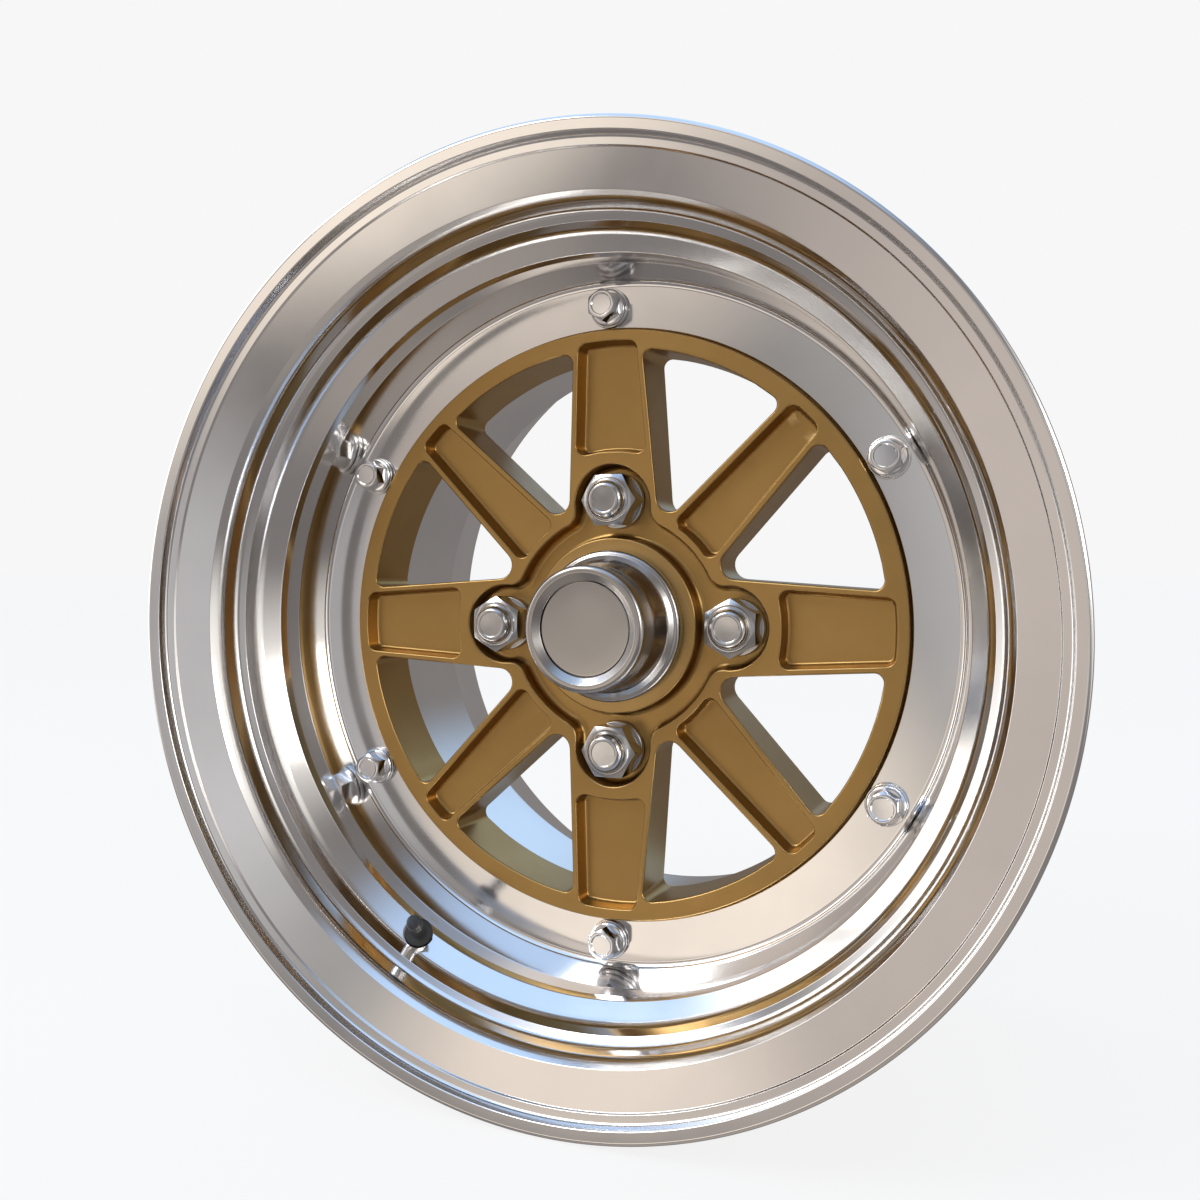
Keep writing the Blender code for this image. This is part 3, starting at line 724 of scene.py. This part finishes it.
def hexagon_loops(shape, outline, low, high, chamfer_low, chamfer_high, slope):
    """Flats between two heights, with each end chamfered by a cone that trims the corners.

    A chamfer is the radius that its cone has at that end, and slope is its rise for each
    unit of radius past that.
    """

    def trimmed(limit, level, way):
        made = []
        for x, y in outline:
            radius = math.hypot(x, y)
            share = min(1.0, limit / radius)
            made.append(shape.verts.new((x * share, y * share, level)))
        edge = []
        for x, y in outline:
            radius = math.hypot(x, y)
            edge.append(shape.verts.new((x, y, level + way * slope * max(0.0, radius - limit))))
        return made, edge

    top, top_edge = trimmed(chamfer_high, high, -1)
    bottom, bottom_edge = trimmed(chamfer_low, low, 1)
    bridge(shape, [top, top_edge, bottom_edge, bottom])
    return top, bottom


def matching_circle(shape, start, radius, level):
    """A circle of new vertices about the same axis, one at the angle of each vertex of a loop."""
    ring = []
    for vert in start:
        angle = math.atan2(vert.co.y, vert.co.x)
        ring.append(shape.verts.new((*polar(radius, angle), level)))
    return ring


def rings_from(shape, start, profile):
    """Circles that carry on from a loop's own angles, one for each point of the profile."""
    loops = [start]
    for radius, level in profile:
        if radius == 0.0:
            loops.append([shape.verts.new((0.0, 0.0, level))])
        else:
            loops.append(matching_circle(shape, start, radius, level))
    return loops


def make_assembly_bolts():
    """Hexagon flange bolts: domed flange under the head, dished head top, plain shank."""
    washer = rounded([(8.6, 30.2, 0.35), (8.6, 28.3, 0.35), (4.3, 28.3), (4.3, 30.2, 0.3)], 5)
    for index in range(1, 7):
        node = f"assembly_bolt_{index}"
        placement = standing_at(node)
        shape = bmesh.new()
        outline = hexagon(12.0, 0.0)
        top, bottom = hexagon_loops(shape, outline, 31.9, 38.9, 9.0, 5.7, 0.62)
        bridge(shape, rings_from(shape, top, [(5.2, 39.0), (4.6, 38.9), (4.2, 38.55), (0.0, 38.45)]))
        skirt = [(7.2, 31.75), (7.7, 31.45), (8.0, 31.0), (8.0, 30.7), (7.7, 30.5), (4.1, 30.5), (3.9, 30.2)]
        shank = [(3.9, 9.0), (3.9, 6.3), (3.3, 5.6), (0.0, 5.5)]
        bridge(shape, rings_from(shape, bottom, skirt + shank))
        piece(f"{node}_look", finished_mesh(shape, node, placement, 30), node, CHROME)
        turned_piece(f"bolt_washer_{index}", washer, CHROME, placement, FINE)


def make_lug_nuts():
    """Domed nuts, each with a grooved collar, on a round washer over a steel seat."""
    washer = rounded([(12.3, 20.7, 0.5), (12.3, 18.5, 0.4), (6.9, 18.5, 0.3), (6.9, 20.7, 0.3)], 6)
    insert = rounded([(10.0, 18.2, 0.3), (10.0, 6.3, 0.3), (6.9, 6.3), (6.9, 18.2, 0.3)], 5)
    for index in range(1, 5):
        node = f"lug_nut_{index}"
        placement = standing_at(node)
        shape = bmesh.new()
        outline = hexagon(22.0, math.pi / 6, 8, 0.5)
        top, bottom = hexagon_loops(shape, outline, 21.0, 31.6, 11.6, 10.9, 0.5)
        collar = [
            (9.9, 31.9), (9.6, 32.3), (9.2, 32.35), (8.8, 32.05), (8.55, 32.1), (8.45, 32.5),
            (8.4, 33.6), (8.2, 34.6), (7.7, 35.5), (7.1, 36.1), (6.5, 36.4), (6.0, 36.5),
            (5.6, 36.4), (5.3, 36.2), (2.5, 36.1), (0.0, 36.1),
        ]
        bridge(shape, rings_from(shape, top, collar))
        bore = [(5.9, 21.0), (5.3, 21.6), (5.3, 32.6), (4.9, 33.0), (0.0, 33.0)]
        bridge(shape, rings_from(shape, bottom, bore))
        piece(f"{node}_look", finished_mesh(shape, node, placement, 30), node, NICKEL)
        turned_piece(f"lug_washer_{index}", washer, NICKEL, placement, FINE)
        turned_piece(f"lug_seat_insert_{index}", insert, NICKEL, placement, FINE)


# The centre cap.


def make_centre_cap():
    cap_top = -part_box("cap_shell")[0].y / MM
    shell = rounded([
        (23.4, cap_top - 0.1, 0.8),
        (26.8, cap_top, 2.2),
        (26.8, 54.6, 1.6),
        (25.7, 52.6, 1.5),
        (25.9, 43.0, 12.0),
        (28.6, 34.4, 3.0),
        (31.0, 32.4, 1.2),
        (33.2, 32.0, 1.9),
        (33.2, 26.7, 0.5),
        (28.1, 26.7, 0.3),
        (28.1, 21.2, 0.2),
        (26.4, 21.2, 0.2),
        (26.4, 19.0, 0.2),
        (28.1, 19.0, 0.2),
        (28.1, 12.0, 0.5),
        (25.5, 12.0, 0.4),
        (25.5, 30.0, 2.0),
        (23.5, 40.0, 2.0),
        (23.5, 50.0, 1.0),
        (17.5, 52.5, 0.5),
        (17.5, 54.5, 0.3),
        (20.4, 54.5),
        (20.3, 56.9, 0.4),
    ], 6)
    turned_piece("cap_shell", shell, CAP_METAL)
    face = [(0.0, 56.35), (12.0, 56.35), (19.0, 56.4), (19.7, 56.3)]
    face += [(20.0, 55.9), (20.05, 54.9), (19.9, 54.8), (0.0, 54.8)]
    turned_piece("cap_face", face, CAP_METAL, segments=128, closed=False)
    ring = [(27.4 + x, 20.1 + z) for x, z in reversed(circle(0.7, 16))]
    turned_piece("cap_o_ring", ring, RUBBER, segments=128)


# The valve.


def valve_placement():
    """The valve's own axis, from the joint that its cap turns on. Local zero is its seat."""
    joints = frame["record"]["behaviour"]["joints"]
    joint = next(joint for joint in joints if joint["name"] == "valve_cap_turn")
    direction = Vector(joint["axis"])
    seat = Vector(joint["pos_m"]) - direction * VALVE_CAP_JOINT_HEIGHT * MM
    turned = direction.to_track_quat("Z", "X").to_matrix().to_4x4()
    return Matrix.Translation(seat) @ turned @ Matrix.Scale(MM, 4)


def valve_hole_cutter():
    shape = bmesh.new()
    profile = [(0.0, 12.0), (7.0, 12.0), (7.0, 0.0), (5.65, -0.3)]
    profile += [(5.65, -5.2), (9.5, -5.2), (9.5, -20.0), (0.0, -20.0)]
    lathe(shape, profile, 64, closed=False)
    mesh = finished_mesh(shape, "valve_hole", valve_placement())
    made = bpy.data.objects.new("valve_hole", mesh)
    bpy.context.scene.collection.objects.link(made)
    return made


def make_valve():
    place = valve_placement()
    body = rounded([
        (2.2, 1.9, 0.2), (4.2, 1.8, 0.6), (6.2, 1.1, 0.7), (6.2, 0.3, 0.2), (5.3, 0.3, 0.3), (5.3, -5.5, 0.3),
        (8.8, -5.5, 0.8), (8.8, -8.0, 1.2), (4.5, -15.0, 1.0), (2.2, -15.0, 0.2),
    ], 5)
    turned_piece("valve_body", body, RUBBER, place, FINE)
    sleeve = rounded([(2.9, 10.2, 0.3), (2.9, 2.1, 0.3), (2.2, 2.1), (2.2, 10.2)], 4)
    turned_piece("valve_sleeve", sleeve, CHROME, place, 64)
    threads = []
    for step in range(14):
        level = 13.9 - 0.26 * step
        threads.append((1.9 if step % 2 == 0 else 1.72, level))
    tube = [(1.35, 14.0), (1.7, 14.2), *threads, (1.9, 10.0), (1.9, -15.0), (1.5, -15.5), (1.35, -15.5)]
    turned_piece("valve_tube", tube, BRASS, place, 48)
    core = rounded([(1.05, 13.0, 0.15), (1.05, 5.2, 0.2), (0.6, 5.2), (0.6, 13.0, 0.1)], 3)
    turned_piece("valve_core", core, BRASS, place, 32)
    pin = [(0.0, 13.9), (0.24, 13.85), (0.3, 13.7), (0.3, 4.9)]
    pin += [(0.9, 4.9), (0.9, 3.8), (0.7, 3.6), (0.0, 3.6)]
    turned_piece("valve_pin", pin, NICKEL, place, 32, closed=False)
    make_valve_cap(place)
    seal = [(0.0, 15.4), (1.9, 15.4), (2.0, 15.3), (2.0, 14.7), (1.9, 14.6), (0.0, 14.6)]
    turned_piece("valve_cap_seal", seal, RUBBER, place, 32, closed=False)


def make_valve_cap(place):
    """Moulded cap with a ribbed grip between its plain top and its plain skirt."""
    ribs = 18
    around = ribs * 6
    profile = [
        (0.0, 16.6, 0), (2.3, 16.6, 0), (2.75, 16.5, 0), (3.05, 16.2, 0), (3.12, 15.8, 0), (3.12, 15.4, 1),
        (3.12, 11.8, 1), (3.12, 11.4, 0), (3.25, 11.2, 0), (3.3, 10.9, 0), (3.25, 10.5, 0), (2.3, 10.5, 0),
        (2.3, 15.7, 0), (0.0, 15.7, 0),
    ]
    shape = bmesh.new()
    loops = []
    for radius, level, ribbed in profile:
        if radius == 0.0:
            loops.append([shape.verts.new((0.0, 0.0, level))])
            continue
        ring = []
        for step in range(around):
            angle = math.tau * step / around
            rise = 0.16 * ribbed * max(0.0, math.cos(ribs * angle))
            ring.append((radius + rise, angle))
        loops.append([shape.verts.new((*polar(reach, angle), level)) for reach, angle in ring])
    bridge(shape, loops)
    piece("valve_cap_look", finished_mesh(shape, "valve_cap", place, 45), "valve_cap", PLASTIC)


# Stage, light and camera.


def make_stage():
    """A plain pale floor. The wheel stands on it at its lowest point."""
    shape = bmesh.new()
    bmesh.ops.create_grid(shape, x_segments=1, y_segments=1, size=30.0)
    mesh = bpy.data.meshes.new("floor")
    shape.to_mesh(mesh)
    shape.free()
    floor = bpy.data.objects.new("floor", mesh)
    floor.location = (0.0, 0.0, cad_box[0][2] - 0.0005)
    bpy.context.scene.collection.objects.link(floor)
    made, _, shader = new_material("pale_floor", (0.10, 0.10, 0.10), 0.0, 0.9)
    shader.inputs["Specular IOR Level"].default_value = 0.0
    shader.inputs["Emission Color"].default_value = (1.0, 1.0, 1.0, 1.0)
    shader.inputs["Emission Strength"].default_value = 0.85
    mesh.materials.append(made)
    floor.visible_glossy = False


def glow(tree, direction, colour, spread, strength):
    """A soft patch of coloured light in the surroundings, centred on a direction."""
    place = tree.nodes.new("ShaderNodeTexCoord")
    dot = tree.nodes.new("ShaderNodeVectorMath")
    dot.operation = "DOT_PRODUCT"
    dot.inputs[1].default_value = Vector(direction).normalized()
    tree.links.new(place.outputs["Generated"], dot.inputs[0])
    patch = tree.nodes.new("ShaderNodeMapRange")
    patch.interpolation_type = "SMOOTHSTEP"
    patch.inputs["From Min"].default_value = math.cos(math.radians(spread))
    patch.inputs["From Max"].default_value = math.cos(math.radians(spread * 0.35))
    patch.inputs["To Max"].default_value = strength
    tree.links.new(dot.outputs["Value"], patch.inputs["Value"])
    tint = tree.nodes.new("ShaderNodeVectorMath")
    tint.operation = "SCALE"
    tint.inputs[0].default_value = colour
    tree.links.new(patch.outputs["Result"], tint.inputs["Scale"])
    return tint.outputs["Vector"]


def make_surroundings():
    """White to the camera, and a soft studio of cream, grey and blue to the metal."""
    world = bpy.data.worlds.new("studio")
    bpy.context.scene.world = world
    world.use_nodes = True
    tree = world.node_tree
    tree.nodes.clear()
    glows = [
        glow(tree, (-0.42, -0.83, 0.40), (1.0, 0.86, 0.72), 18, 0.75),
        glow(tree, (-0.31, -0.92, -0.24), (1.0, 0.88, 0.74), 15, 0.92),
        glow(tree, (-0.08, -0.97, 0.23), (0.96, 1.0, 1.0), 13, 0.16),
        glow(tree, (0.12, -0.98, 0.02), (0.95, 0.96, 1.0), 20, 0.38),
        glow(tree, (-0.74, -0.67, -0.05), (0.85, 0.72, 0.62), 26, 0.45),
        glow(tree, (-0.25, -0.35, 0.92), (0.38, 0.62, 1.0), 44, 1.15),
        glow(tree, (-0.95, -0.05, 0.30), (1.0, 1.0, 1.0), 36, 1.9),
        glow(tree, (0.9, -0.3, 0.25), (1.0, 0.97, 0.92), 36, 0.9),
        glow(tree, (0.1, -0.45, -0.9), (0.62, 0.52, 0.42), 40, 0.25),
        glow(tree, (0.0, 0.6, 0.75), (0.40, 0.66, 1.0), 45, 1.0),
    ]
    total = glows[0]
    for added in glows[1:]:
        sum_node = tree.nodes.new("ShaderNodeVectorMath")
        tree.links.new(total, sum_node.inputs[0])
        tree.links.new(added, sum_node.inputs[1])
        total = sum_node.outputs["Vector"]
    base = tree.nodes.new("ShaderNodeVectorMath")
    base.inputs[1].default_value = (0.245, 0.228, 0.222)
    tree.links.new(total, base.inputs[0])
    studio = tree.nodes.new("ShaderNodeBackground")
    tree.links.new(base.outputs["Vector"], studio.inputs["Color"])
    plain = tree.nodes.new("ShaderNodeBackground")
    plain.inputs["Color"].default_value = (0.93, 0.93, 0.93, 1.0)
    path = tree.nodes.new("ShaderNodeLightPath")
    mix = tree.nodes.new("ShaderNodeMixShader")
    tree.links.new(path.outputs["Is Camera Ray"], mix.inputs["Fac"])
    tree.links.new(studio.outputs["Background"], mix.inputs[1])
    tree.links.new(plain.outputs["Background"], mix.inputs[2])
    output = tree.nodes.new("ShaderNodeOutputWorld")
    tree.links.new(mix.outputs["Shader"], output.inputs["Surface"])


def add_light(name, place, size, power, colour):
    lamp = bpy.data.lights.new(name, "AREA")
    lamp.shape = "DISK"
    lamp.size = size
    lamp.energy = power
    lamp.color = colour
    made = bpy.data.objects.new(name, lamp)
    made.location = place
    made.rotation_euler = (-Vector(place)).to_track_quat("-Z", "Y").to_euler()
    made.visible_camera = False
    bpy.context.scene.collection.objects.link(made)


def make_camera():
    data = bpy.data.cameras.new("camera")
    data.sensor_width = 36.0
    data.lens = 34.74
    data.clip_start = 0.01
    made = bpy.data.objects.new("camera", data)
    azimuth, elevation = math.radians(22.95), math.radians(1.53)
    back = Vector((
        math.sin(azimuth) * math.cos(elevation),
        -math.cos(azimuth) * math.cos(elevation),
        math.sin(elevation),
    ))
    made.location = (0.1932, -0.4960, 0.0249)
    made.rotation_euler = (-back).to_track_quat("-Z", "Y").to_euler()
    bpy.context.scene.collection.objects.link(made)
    bpy.context.scene.camera = made


bpy.context.scene.view_settings.view_transform = "Standard"
make_camera()
make_stage()
make_surroundings()
add_light("key", (-1.4, -1.6, 1.7), 1.2, 24.0, (1.0, 0.98, 0.95))
add_light("fill", (1.8, -1.2, 0.6), 1.0, 10.0, (1.0, 0.97, 0.93))
make_inner_barrel()
make_outer_barrel()
make_seal()
make_centre()
make_assembly_bolts()
make_lug_nuts()
make_centre_cap()
make_valve()
